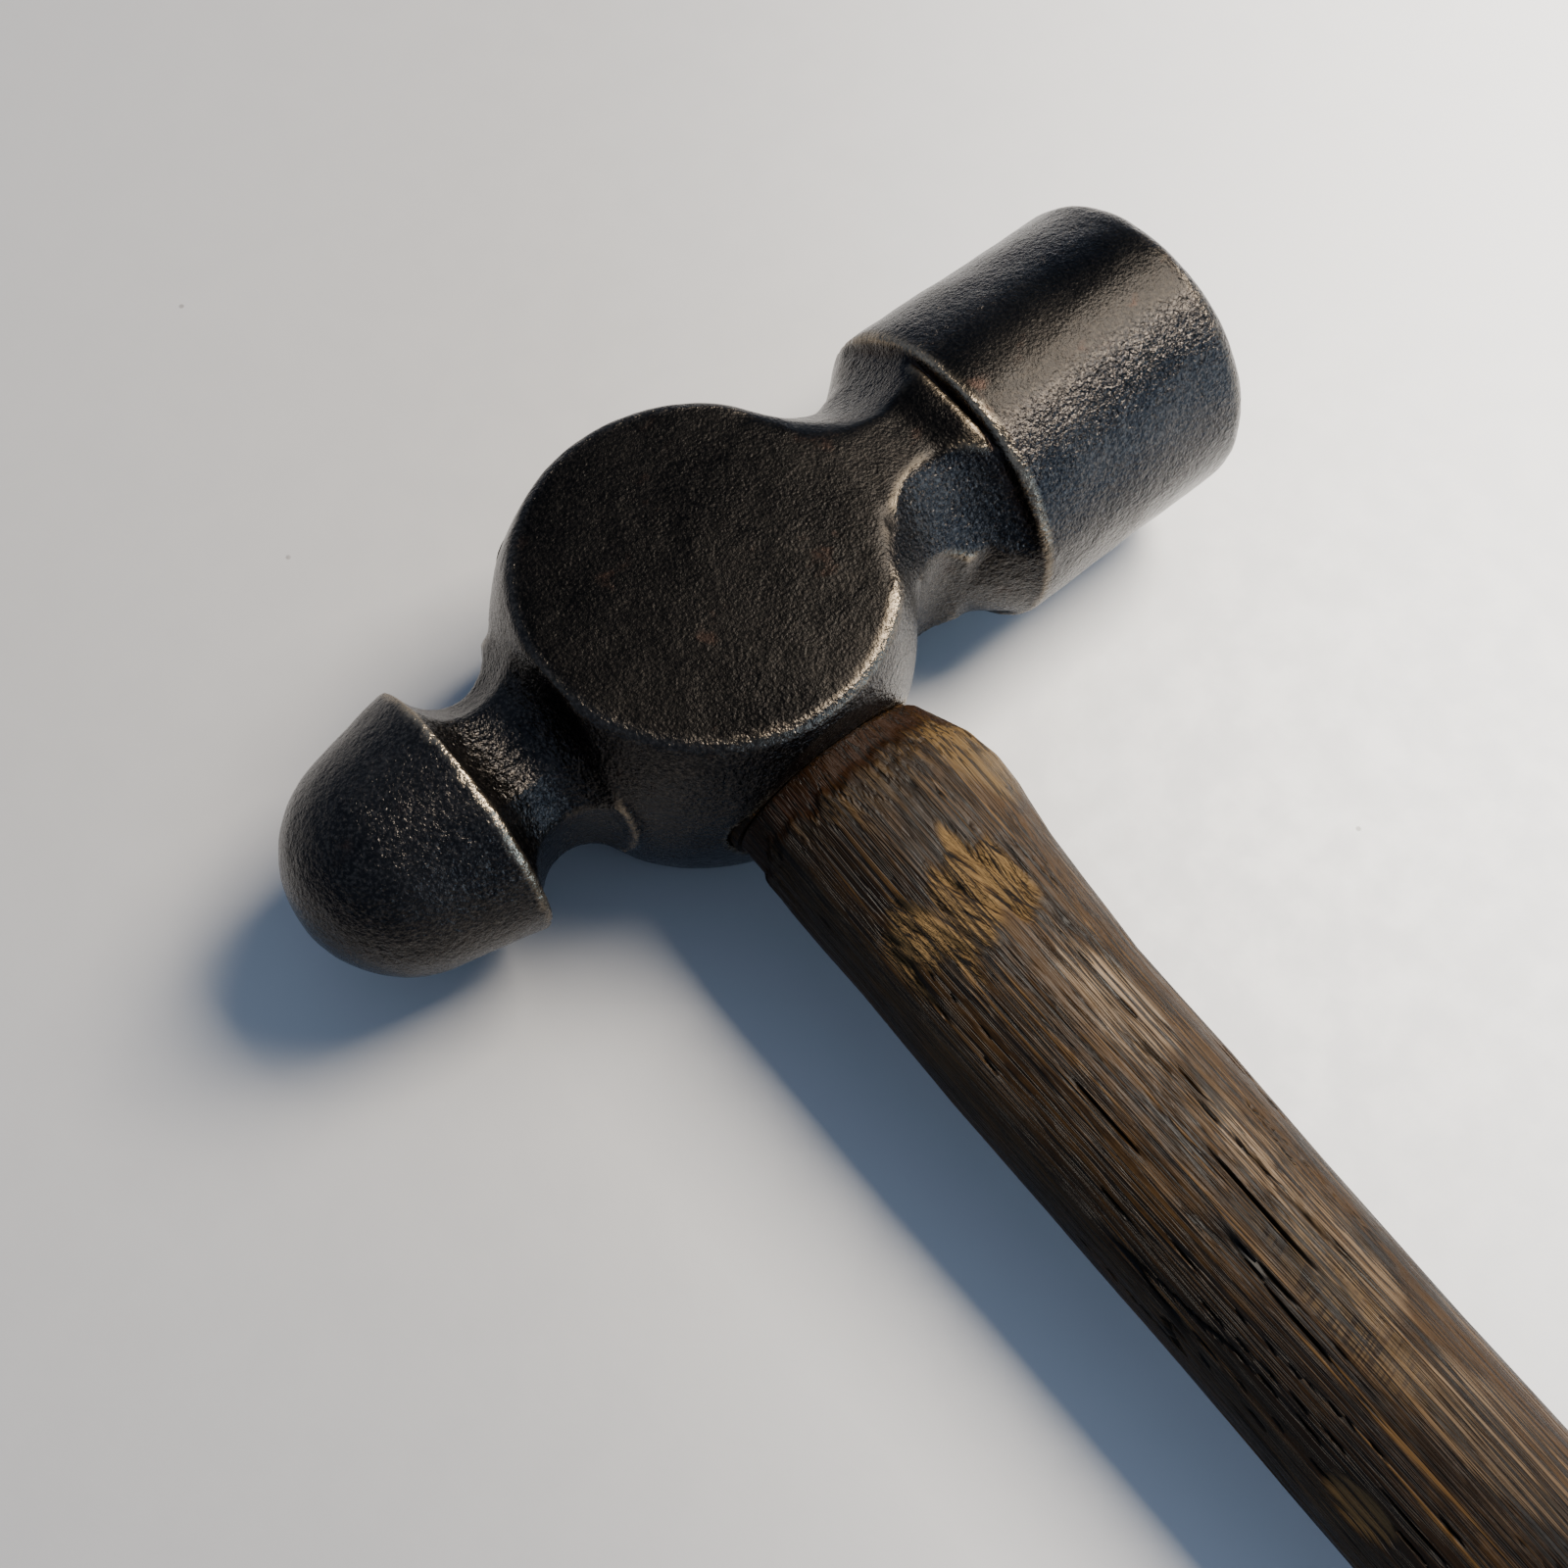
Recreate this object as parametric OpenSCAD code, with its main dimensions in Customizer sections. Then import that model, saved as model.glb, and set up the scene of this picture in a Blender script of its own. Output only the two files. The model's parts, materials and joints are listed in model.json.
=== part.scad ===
// Ball-pein hammer for a smithy: forged steel head, oval wooden handle, one wooden wedge and
// two steel cross wedges. Millimetres. The head is drawn with its striking end towards +X,
// the handle towards -Y and one cheek up, then laid down the way the hammer rests on a table.

/* [Overall] */
// Length from the top of the eye to the butt of the handle
overall_length = 400; // [340:1:480]
// Length of the head from the struck face to the tip of the ball
head_length = 127.5; // [122:0.5:150]
// Distance from the struck face to the middle of the eye
eye_to_face = 71.4; // [64:0.2:86]

/* [Striking end] */
// Diameter of the round striking end
face_diameter = 40; // [38.5:0.5:48]
// Length of the round striking end
face_length = 34.8; // [28:0.2:38]
// Rounding of the rim around the struck face
face_rounding = 3; // [1:0.1:4.5]
// Bevel on the back rim of the striking end
face_back_bevel = 0.5; // [0.2:0.1:1.2]

/* [Ball] */
// Diameter of the crisp rim behind the ball
ball_rim_diameter = 32.5; // [30:0.1:36]
// Radius of the rounded nose of the ball
ball_nose_radius = 14.2; // [12:0.1:15]
// Length from the rim behind the ball to its tip
ball_length = 22.1; // [19:0.1:24]
// Bevel on the rim behind the ball
ball_rim_bevel = 0.4; // [0.2:0.1:1]

/* [Eye body] */
// Diameter of the flat round cheeks
cheek_diameter = 43; // [40:0.2:45]
// Thickness of the head from cheek to cheek
cheek_thickness = 36.8; // [33:0.2:38]
// Diameter of the eye body halfway between the cheeks
eye_body_diameter = 50; // [48.5:0.2:54]
// Height of the head between the two open ends of the eye
eye_height = 44.8; // [42:0.2:47]
// Rounding where a cheek turns into the side wall
cheek_bevel = 0.8; // [0.3:0.1:1.2]

/* [Necks] */
// Width of the octagonal neck behind the ball across its straight faces
ball_neck_width = 18.8; // [16:0.1:21]
// Width of the octagonal neck behind the ball across its corner faces
ball_neck_corners = 20.7; // [18:0.1:22.5]
// Width of the face neck across its two handle-side faces
face_neck_width = 24; // [21:0.2:26]
// Radius of the hollow where the face neck leaves the eye body
face_neck_hollow = 5.3; // [4:0.1:6.5]
// Width of the face neck across the corner scoops
face_neck_corners = 30.6; // [28:0.2:32.5]
// Radius of the corner scoops in the face neck
corner_scoop_radius = 12.6; // [11.5:0.1:14]
// Distance from the striking end back to the deepest part of the corner scoops
corner_scoop_setback = 7.6; // [6:0.1:9]
// How far the cheek strip has fallen away where it meets the striking end
cheek_strip_fall = 2; // [0.5:0.1:3]
// Distance from the middle of the eye at which the cheek strip starts to fall away
cheek_strip_start = 17; // [12:0.5:19]
// How far the neck flare stops short of the striking end's rim
flare_step = 0.6; // [0.4:0.1:1.5]

/* [Eye and tang] */
// Length of the oval eye at its narrow waist
eye_waist_length = 24.6; // [22:0.2:26]
// Length of the oval eye at its two open ends
eye_mouth_length = 26; // [23.5:0.2:28]
// Height of every oval as a part of its length
oval_ratio = 0.78; // [0.7:0.01:0.84]
// How far the end of the tang stands out of the eye
tang_proud = 0.8; // [0:0.1:2]
// Gap left between mating faces
fit_gap = 0.04; // [0.02:0.01:0.08]

/* [Handle] */
// How far the handle's shoulder stands out beyond the open end of the eye on each side
shoulder_step = 0.5; // [0.2:0.1:1.5]
// How far the swell just below the shoulder stands out beyond the shoulder on each side
swell_step = 0.8; // [0:0.1:2]
// Distance from the shoulder to the swell
swell_distance = 14; // [10:1:22]
// Width of the handle at its narrow throat
throat_width = 25.6; // [22:0.2:28]
// Distance from the shoulder to the throat
throat_distance = 130; // [100:1:190]
// Width of the handle at the fullest part of the grip
grip_width = 32; // [29:0.2:36]
// Distance from the fullest part of the grip back to the butt
grip_distance = 48; // [36:1:60]
// Width of the handle at the butt
butt_width = 29; // [25:0.2:31]
// Rounding around the butt
butt_rounding = 5; // [2:0.5:8]

/* [Wedges] */
// Thickness of the wooden wedge at its top
wood_wedge_top = 3.4; // [2.4:0.1:4.4]
// Thickness of the wooden wedge at its point
wood_wedge_point = 1; // [0.8:0.1:1.6]
// Depth the wooden wedge is driven
wood_wedge_depth = 30; // [24:0.5:34]
// Depth of the saw cut below the wooden wedge
saw_cut_extra = 4; // [2:0.5:6]
// Width of the steel wedges across the eye
steel_wedge_width = 11; // [8:0.2:12]
// Thickness of the steel wedges at their top
steel_wedge_top = 2.6; // [1.8:0.1:3.2]
// Thickness of the steel wedges at their point
steel_wedge_point = 0.8; // [0.5:0.1:1.2]
// Depth the steel wedges are driven
steel_wedge_depth = 16; // [12:0.5:20]
// Distance of each steel wedge from the middle of the eye
steel_wedge_offset = 6; // [5:0.1:7]

/* [Display] */
// Roundness of the curves on screen
smoothness = 96; // [64:8:160]

/* [Hidden] */
$fn = smoothness;
// Sliver by which joined shapes overlap, and the room by which a cutting shape overshoots
eps = 0.02;
over = 1;
// Longer than the head is wide or tall, for shapes that cut right across it
big = 60;

face_radius = face_diameter / 2;
cheek_radius = cheek_diameter / 2;
cheek_z = cheek_thickness / 2;
body_radius = eye_body_diameter / 2;
eye_end_y = eye_height / 2;
rim_radius = ball_rim_diameter / 2;

// Places along the head, measured from the middle of the eye
face_x = eye_to_face;
shoulder_x = eye_to_face - face_length;
tip_x = eye_to_face - head_length;
rim_x = tip_x + ball_length;
nose_x = tip_x + ball_nose_radius;

// The straight flank of the ball runs from the rim and just touches the round nose
rim_reach = norm([rim_x - nose_x, rim_radius]);
touch_angle = atan2(rim_radius, rim_x - nose_x) + acos(ball_nose_radius / rim_reach);
touch_x = nose_x + ball_nose_radius * cos(touch_angle);
touch_r = ball_nose_radius * sin(touch_angle);
// The flank gives way to the rim bevel a hair inside the full rim diameter
flank_end = rim_radius - ball_rim_bevel / 6;

// The side wall of the eye body is an arc through the cheek edge, fullest at mid height
wall_bulge = body_radius - cheek_radius;
wall_arc = (pow(wall_bulge, 2) + pow(cheek_z, 2)) / (2 * wall_bulge);

// The hollows of the ball neck fill the room between the cheek edge and the ball
ball_hollow = (-rim_x - cheek_radius) / 2;
ball_hollow_x = rim_x + ball_hollow;

// Hollow of the face neck: touches the eye body, then a straight flare runs to the striking end
neck_half = face_neck_width / 2;
hollow_y = neck_half + face_neck_hollow;
hollow_x = sqrt(pow(body_radius + face_neck_hollow, 2) - pow(hollow_y, 2));
flare_radius = face_radius - flare_step;
flare_reach = [shoulder_x - hollow_x, flare_radius - hollow_y];
flare_turn = atan2(flare_reach[1], flare_reach[0]) - acos(face_neck_hollow / norm(flare_reach));
flare_start = [
  hollow_x + face_neck_hollow * cos(flare_turn),
  hollow_y + face_neck_hollow * sin(flare_turn)
];
scoop_x = shoulder_x - corner_scoop_setback;
scoop_reach = face_neck_corners / 2 + corner_scoop_radius;
fall_length = shoulder_x - cheek_strip_start;
fall_radius = (pow(fall_length, 2) + pow(cheek_strip_fall, 2)) / (2 * cheek_strip_fall);
// The block that carries the cheek strips is a little wider than the waist cut into it
neck_block = neck_half + face_neck_hollow / 3;

// Handle lengths
tang_top = eye_end_y + tang_proud;
shoulder_width = eye_mouth_length + 2 * shoulder_step;
swell_width = shoulder_width + 2 * swell_step;
// The tang runs on down inside the handle, so that the two are one piece of wood
tang_root = 6;
// Angle that keeps the start of each turning off the widest line of the oval
seam_turn = 45;
// Rings along the handle and around its butt
handle_steps = 24;
butt_steps = 5;
shoulder_y = -eye_end_y - fit_gap;
butt_y = eye_end_y - overall_length;
swell_y = shoulder_y - swell_distance;
throat_y = shoulder_y - throat_distance;
grip_y = butt_y + grip_distance;
round_y = butt_y + butt_rounding;

// The hammer rests on the back rim of the striking end, the edge of the lower cheek and the grip.
// "settle" closes in on how steeply the head has to lean for all three to touch the table.
rest_half = grip_width / 2 * oval_ratio;
function lean_x(q) = (face_radius - cheek_z - cheek_radius * q) / shoulder_x;
function lean_y(q) = (cheek_z + cheek_radius * q - rest_half) / -grip_y;
function settle(q, n) = n == 0 ? q : settle((q + norm([lean_x(q), lean_y(q)])) / 2, n - 1);
first_lean = 0.03;
settle_rounds = 12;
lean = settle(first_lean, settle_rounds);
tip_over = asin(lean_y(lean));
tip_along = asin(lean_x(lean) / cos(tip_over));
rest_height = cheek_z * cos(tip_over) * cos(tip_along) + cheek_radius * lean;
front_x = face_x * cos(tip_along) + (face_radius - face_rounding) * sin(tip_along);
back_x = nose_x * cos(tip_along) - ball_nose_radius;
middle_x = (front_x + back_x) / 2;
middle_y = (tang_top + butt_y) / 2 * cos(tip_over);

// Part to show, or all of them

// Lays the hammer on the table, with the middle of its outline over the origin
module at_rest() {
  translate([-middle_x, -middle_y, rest_height])
    rotate([tip_over, 0, 0])
      rotate([0, -tip_along, 0])
        children();
}

// Turns a shape drawn around +Z so that it runs along +X
module along_x() {
  rotate([0, 90, 0])
    children();
}

// Round striking end with a rounded front rim and a slightly bevelled back rim
module striking_end() {
  translate([shoulder_x, 0, 0])
    along_x()
      rotate_extrude() {
        difference() {
          square([face_radius, face_length]);
          translate([face_radius - face_rounding, face_length - face_rounding])
            square([face_rounding + over, face_rounding + over]);
          polygon([
            [face_radius - face_back_bevel, -eps],
            [face_radius + eps, -eps],
            [face_radius + eps, face_back_bevel]
          ]);
        }
        translate([face_radius - face_rounding, face_length - face_rounding])
          intersection() {
            circle(r = face_rounding);
            square([face_rounding + over, face_rounding + over]);
          }
      }
}

// Ball: a round nose and a straight flank that widens to a crisp back rim
module ball() {
  translate([nose_x, 0, 0])
    along_x()
      rotate_extrude()
        intersection() {
          circle(r = ball_nose_radius);
          translate([0, -big])
            square([big, big + touch_x - nose_x]);
        }
  translate([touch_x, 0, 0])
    along_x()
      rotate_extrude()
        polygon([
          [0, 0],
          [touch_r, 0],
          [flank_end, rim_x - touch_x - ball_rim_bevel],
          [rim_radius - ball_rim_bevel, rim_x - touch_x],
          [0, rim_x - touch_x]
        ]);
}

// Round body around the eye, with flat cheeks and a gently bulging side wall
module eye_body() {
  intersection() {
    rotate_extrude()
      intersection() {
        translate([body_radius - wall_arc, 0])
          circle(r = wall_arc, $fn = 4 * smoothness);
        polygon([
          [0, -cheek_z],
          [cheek_radius - cheek_bevel, -cheek_z],
          [cheek_radius + cheek_bevel / 2, cheek_bevel - cheek_z],
          [body_radius + over, cheek_bevel - cheek_z],
          [body_radius + over, cheek_z - cheek_bevel],
          [cheek_radius + cheek_bevel / 2, cheek_z - cheek_bevel],
          [cheek_radius - cheek_bevel, cheek_z],
          [0, cheek_z]
        ]);
      }
    cube([big * 2, eye_height, big * 2], center = true);
  }
}

// Stock of the ball neck, before its hollows are cut
module ball_neck_stock() {
  translate([rim_x - eps, 0, 0])
    along_x()
      cylinder(r = rim_radius - ball_rim_bevel - over, h = -rim_x);
}

// One hollow of the ball neck, its floor at the given distance from the middle of the head
module ball_neck_cut(floor_z) {
  translate([ball_hollow_x, 0, floor_z + ball_hollow])
    rotate([90, 0, 0])
      cylinder(r = ball_hollow, h = big, center = true);
  translate([rim_x, -big / 2, floor_z + ball_hollow])
    cube([2 * ball_hollow, big, big]);
}

// Broad round that lets one cheek strip fall away from its cheek towards the striking end
module strip_fall() {
  translate([cheek_strip_start, 0, cheek_z - eps - fall_radius])
    rotate([90, 0, 0])
      cylinder(r = fall_radius, h = big, center = true, $fn = 4 * smoothness);
}

// Stock of the face neck: a block that carries the cheek strips and a flare to the striking end
module face_neck_stock() {
  intersection() {
    union() {
      intersection() {
        translate([0, -neck_block, -big / 2])
          cube([shoulder_x + eps, 2 * neck_block, big]);
        along_x()
          cylinder(r = flare_radius, h = shoulder_x + eps);
      }
      translate([flare_start[0], 0, 0])
        along_x()
          cylinder(r1 = flare_start[1], r2 = flare_radius, h = shoulder_x + eps - flare_start[0]);
    }
    strip_fall();
    mirror([0, 0, 1])
      strip_fall();
  }
}

// Hollow that narrows the face neck on one handle side
module face_neck_cut() {
  translate([0, 0, -big / 2])
    linear_extrude(height = big) {
      translate([hollow_x, hollow_y])
        circle(r = face_neck_hollow);
      polygon([
        [hollow_x, hollow_y],
        flare_start,
        [shoulder_x, flare_radius],
        [shoulder_x, big],
        [hollow_x - face_neck_hollow, big],
        [hollow_x - face_neck_hollow, hollow_y]
      ]);
    }
}

// Scoop across one corner of the face neck, stopped by the back of the striking end
module corner_scoop() {
  intersection() {
    translate([scoop_x, 0, scoop_reach])
      rotate([90, 0, 0])
        cylinder(r = corner_scoop_radius, h = big, center = true);
    translate([0, -big, 0])
      cube([shoulder_x, 2 * big, big]);
  }
}

// Round drum that becomes the oval eye once it is squashed: narrow waist, wider mouths
module eye_drum(inset, bottom, top) {
  waist = eye_waist_length / 2 - inset;
  mouth = eye_mouth_length / 2 - inset;
  grow = (mouth - waist) / eye_end_y;
  rotate([-90, 0, 0])
    rotate_extrude()
      polygon([
        [0, bottom],
        [waist + grow * abs(bottom), bottom],
        [waist, 0],
        [waist + grow * abs(top), top],
        [0, top]
      ]);
}

// Squashes a round turning to the oval of the eye and handle
module to_oval() {
  scale([1, 1, oval_ratio])
    children();
}

// Forged head, one piece from struck face to ball, with the eye through it
module head() {
  color([0.25, 0.24, 0.24])
    at_rest()
      difference() {
        union() {
          striking_end();
          ball();
          difference() {
            union() {
              eye_body();
              face_neck_stock();
              ball_neck_stock();
            }
            for (side = [0, 1])
              mirror([0, side, 0])
                face_neck_cut();
            for (turn = [45, 135, 225, 315])
              rotate([turn, 0, 0])
                corner_scoop();
            for (turn = [0, 90, 180, 270])
              rotate([turn, 0, 0])
                ball_neck_cut(ball_neck_width / 2);
            for (turn = [45, 135, 225, 315])
              rotate([turn, 0, 0])
                ball_neck_cut(ball_neck_corners / 2);
          }
        }
        to_oval()
          eye_drum(0, -eye_end_y - over, eye_end_y + over);
      }
}

// Half width of the handle at a given place, eased between its named widths
function ease(from, to, t) = from + (to - from) * (1 - cos(180 * t)) / 2;
function handle_half(y) =
  y > swell_y ? ease(shoulder_width, swell_width, (shoulder_y - y) / swell_distance) / 2
  : y > throat_y ? ease(swell_width, throat_width, (swell_y - y) / (swell_y - throat_y)) / 2
  : y > grip_y ? ease(throat_width, grip_width, (throat_y - y) / (throat_y - grip_y)) / 2
  : ease(grip_width, butt_width, (grip_y - y) / (grip_y - butt_y)) / 2;

// Oval tang that fills the eye, with a root that runs down inside the handle
module tang() {
  waist = eye_waist_length / 2 - fit_gap;
  mouth = eye_mouth_length / 2 - fit_gap;
  grow = (mouth - waist) / eye_end_y;
  to_oval()
    rotate([-90, 0, 0])
      rotate([0, 0, seam_turn])
        rotate_extrude()
          polygon([
            [0, tang_top],
            [waist + grow * tang_top, tang_top],
            [waist, 0],
            [waist - grow * shoulder_y, shoulder_y],
            [waist, shoulder_y - tang_root],
            [0, shoulder_y - tang_root]
          ]);
}

// Oval handle below the head, from the shoulder to the rounded butt
module handle_body() {
  to_oval()
    rotate([-90, 0, 0])
      rotate([0, 0, seam_turn])
        rotate_extrude()
          polygon(concat(
            [[0, shoulder_y]],
            [for (i = [0 : handle_steps])
              let (y = shoulder_y + (round_y - shoulder_y) * i / handle_steps)
                [handle_half(y), y]],
            [for (i = [1 : butt_steps])
              let (a = 90 * i / butt_steps)
                [handle_half(round_y) - butt_rounding * (1 - cos(a)), round_y - butt_rounding * sin(a)]],
            [[0, butt_y]]
          ));
}

// One lengthwise slice of the handle: towards the ball (-1), the middle (0) or towards the face (1)
module handle_slice(side) {
  slice = throat_width / 2;
  intersection() {
    handle_body();
    translate([side == 0 ? -slice / 2 : side > 0 ? slice / 2 : -slice / 2 - big, butt_y - over, -big / 2])
      cube([side == 0 ? slice : big, overall_length, big]);
  }
}

// Flat tapered bar, thickest at the top of the tang, for a wedge or for the slot it sits in.
// A slot goes straight on up by "rise", so that it opens through the end of the tang.
module taper(top_thickness, point_thickness, depth, width, rise) {
  rotate([90, 0, 90])
    linear_extrude(height = width, center = true)
      polygon(concat(
        rise > 0 ? [[tang_top + rise, -top_thickness / 2], [tang_top + rise, top_thickness / 2]] : [],
        [
          [tang_top, top_thickness / 2],
          [tang_top - depth, point_thickness / 2],
          [tang_top - depth, -point_thickness / 2],
          [tang_top, -top_thickness / 2]
        ]
      ));
}

// Wooden wedge bar along the eye, or the slot for it when a gap is given
module wood_taper(gap, rise) {
  taper(wood_wedge_top + 2 * gap, wood_wedge_point + 2 * gap, wood_wedge_depth + gap, big, rise);
}

// Steel wedge across the eye on the given side, or the slot for it when a gap is given
module steel_taper(side, gap, rise) {
  translate([side * steel_wedge_offset, 0, 0])
    rotate([0, 90, 0])
      taper(
        steel_wedge_top + 2 * gap,
        steel_wedge_point + 2 * gap,
        steel_wedge_depth + gap,
        steel_wedge_width + 2 * gap,
        rise
      );
}

// Wooden handle: the tang fills the eye and is split for the wedges
module handle() {
  color([0.36, 0.25, 0.15])
    at_rest() {
      difference() {
        tang();
        wood_taper(fit_gap, over);
        translate([0, tang_top - wood_wedge_depth - saw_cut_extra / 2, 0])
          cube([big, saw_cut_extra, wood_wedge_point], center = true);
        for (side = [-1, 1])
          steel_taper(side, fit_gap, over);
      }
      for (side = [-1, 0, 1])
        handle_slice(side);
    }
}

// Wooden wedge, trimmed to the oval of the tang
module wood_wedge() {
  color([0.62, 0.48, 0.3])
    at_rest()
      difference() {
        intersection() {
          wood_taper(0, 0);
          to_oval()
            eye_drum(fit_gap, shoulder_y - over, tang_top);
        }
        for (side = [-1, 1])
          steel_taper(side, fit_gap, over);
      }
}

// Steel cross wedge on the striking side
module steel_wedge_face() {
  color([0.5, 0.48, 0.46])
    at_rest()
      steel_taper(1, 0, 0);
}

// Steel cross wedge on the ball side
module steel_wedge_ball() {
  color([0.5, 0.48, 0.46])
    at_rest()
      steel_taper(-1, 0, 0);
}

head();
handle();
wood_wedge();
steel_wedge_face();
steel_wedge_ball();
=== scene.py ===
"""Looks of a ball-pein hammer on a pale table: worn forged head, weathered wooden handle, driven wedges."""
import json
import logging
import math
from dataclasses import dataclass, field
from enum import Enum, IntEnum
from typing import Dict, List, Sequence, Tuple

import bpy
import numpy as np
from mathutils import Matrix, Vector

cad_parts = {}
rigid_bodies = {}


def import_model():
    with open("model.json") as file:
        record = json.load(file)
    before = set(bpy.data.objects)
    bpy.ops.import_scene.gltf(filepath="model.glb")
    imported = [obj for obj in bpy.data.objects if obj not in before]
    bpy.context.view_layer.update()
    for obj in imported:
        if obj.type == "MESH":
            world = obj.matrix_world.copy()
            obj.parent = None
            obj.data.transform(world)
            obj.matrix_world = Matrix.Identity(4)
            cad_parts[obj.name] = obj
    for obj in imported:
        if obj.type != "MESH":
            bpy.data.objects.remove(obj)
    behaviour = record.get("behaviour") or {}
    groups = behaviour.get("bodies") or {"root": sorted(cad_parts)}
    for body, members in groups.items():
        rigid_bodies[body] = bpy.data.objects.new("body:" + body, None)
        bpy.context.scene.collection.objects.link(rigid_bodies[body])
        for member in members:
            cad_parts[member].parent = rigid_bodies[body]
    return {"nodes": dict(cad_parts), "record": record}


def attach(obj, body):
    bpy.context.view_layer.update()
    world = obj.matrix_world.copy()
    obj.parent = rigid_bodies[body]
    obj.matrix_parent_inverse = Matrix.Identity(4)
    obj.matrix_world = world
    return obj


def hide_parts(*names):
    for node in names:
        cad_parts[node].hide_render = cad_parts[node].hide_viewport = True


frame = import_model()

MM = 0.001
log = logging.getLogger("hammer")
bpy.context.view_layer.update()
# How far the torn strands of the handle run across its length, in radians
STRAND_TURN = 0.32
HANDLE_MASKS = ("crack", "torn", "worn", "shaved", "rust", "ripple", "head_shadow")


class Body(Enum):
    """The one moving body of the hammer."""

    ROOT = "root"


class Slot(Enum):
    """Material slots of the record."""

    HEAD = "forged_steel"
    HANDLE = "handle_wood"
    WOOD_WEDGE = "wedge_wood"
    STEEL_WEDGE = "wedge_steel"


class Seed(IntEnum):
    """Seeds of the noises that shape the head and the handle."""

    WAVE = 11
    PEEL = 12
    PIT = 13
    PIT_ZONE = 14
    NICK = 15
    BROAD = 21
    FIBRE = 22
    CRACK = 23
    CRACK_ZONE = 24
    SLIT = 25
    SPLINTER = 26
    PATCH = 27
    RAGGED = 28
    OPEN_GRAIN = 29
    DRIFT = 31
    WAVER = 32
    WORN = 33


# ---------------------------------------------------------------- helpers


def smooth_step(low: float, high: float, value: np.ndarray) -> np.ndarray:
    """Rises smoothly from 0 at low to 1 at high.

    Args:
        low: value at which the rise starts.
        high: value at which it ends; may be below low for a fall.
        value: values to map.

    Returns:
        The mapped values, between 0 and 1.
    """
    t = np.clip((value - low) / (high - low), 0.0, 1.0)
    return t * t * (3.0 - 2.0 * t)


@dataclass(frozen=True)
class Fade:
    """A smooth rise from 0 at low to 1 at high, or a fall where high is the smaller."""

    low: float
    high: float

    def of(self, value: np.ndarray) -> np.ndarray:
        """The fade at each value."""
        return smooth_step(self.low, self.high, value)


@dataclass
class Noise:
    """Smooth seeded value noise on a repeating lattice, about -1 to 1."""

    seed: int
    size: int = 64

    def __post_init__(self) -> None:
        """Draws the lattice."""
        self.table = np.random.default_rng(int(self.seed)).uniform(-1.0, 1.0, (self.size,) * 3)

    def at(self, points: np.ndarray, scale: Sequence[float]) -> np.ndarray:
        """Noise at points.

        Args:
            points: n by 3 places in millimetres.
            scale: length of one lattice cell along each axis, in millimetres.

        Returns:
            One value for each point.
        """
        p = points / np.asarray(scale, float)
        low = np.floor(p).astype(int)
        t = p - low
        t = t * t * t * (t * (t * 6 - 15) + 10)
        total = np.zeros(len(p))
        for dx in (0, 1):
            wx = t[:, 0] if dx else 1 - t[:, 0]
            for dy in (0, 1):
                wy = t[:, 1] if dy else 1 - t[:, 1]
                for dz in (0, 1):
                    wz = t[:, 2] if dz else 1 - t[:, 2]
                    i = (low + (dx, dy, dz)) % self.size
                    total += wx * wy * wz * self.table[i[:, 0], i[:, 1], i[:, 2]]
        return total

    def layered(self, points: np.ndarray, scale: Sequence[float], layers: int) -> np.ndarray:
        """Several noises added, each half the size and half the strength of the last.

        Args:
            points: n by 3 places in millimetres.
            scale: cell length of the first layer along each axis.
            layers: how many layers.

        Returns:
            One value for each point, about -1 to 1.
        """
        total = np.zeros(len(points))
        for i in range(layers):
            step = 0.5 ** i
            total += step * self.at(points + 17.3 * i, np.asarray(scale, float) * step)
        return total


class RestPose:
    """How the head frame lies on the table: +X striking face, -Y handle, +Z upper cheek, origin mid eye."""

    def __init__(self, record: Dict) -> None:
        """Reads the frame's axes and origin from the record's mounts.

        Args:
            record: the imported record.
        """
        mounts = {m["name"]: m for m in record["mounts"]}
        face, grip = mounts["striking_face"], mounts["hand_grip"]
        x_axis = Vector(face["axis"]).normalized()
        y_axis = -Vector(grip["axis"]).normalized()
        y_axis = (y_axis - x_axis * y_axis.dot(x_axis)).normalized()
        z_axis = x_axis.cross(y_axis)
        self.turn = np.array([x_axis, y_axis, z_axis], float).T
        span = Vector(face["pos_m"]) - Vector(grip["pos_m"])
        self.origin = np.array(Vector(grip["pos_m"]) + y_axis * span.dot(y_axis), float)

    def to_head(self, points: np.ndarray) -> np.ndarray:
        """Row frame metres to head frame millimetres."""
        return (points - self.origin) @ self.turn / MM

    def to_row(self, points: np.ndarray) -> np.ndarray:
        """Head frame millimetres to row frame metres."""
        return points * MM @ self.turn.T + self.origin

    def direction(self, vector: Sequence[float]) -> Vector:
        """A head frame direction in the row frame."""
        return Vector(self.turn @ np.asarray(vector, float))


def select_only(obj: bpy.types.Object) -> None:
    """Makes obj the one selected and active object.

    Args:
        obj: the object to select.
    """
    for other in bpy.context.view_layer.objects:
        other.select_set(False)
    obj.select_set(True)
    bpy.context.view_layer.objects.active = obj


def read_points(obj: bpy.types.Object) -> np.ndarray:
    """The vertices of obj as an n by 3 array.

    Args:
        obj: mesh object.

    Returns:
        One row for each vertex, in metres.
    """
    co = np.zeros(len(obj.data.vertices) * 3, np.float32)
    obj.data.vertices.foreach_get("co", co)
    return co.reshape(-1, 3).astype(float)


def write_points(obj: bpy.types.Object, points: np.ndarray) -> None:
    """Puts the vertices of obj at points."""
    obj.data.vertices.foreach_set("co", points.astype(np.float32).ravel())
    obj.data.update()


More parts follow.
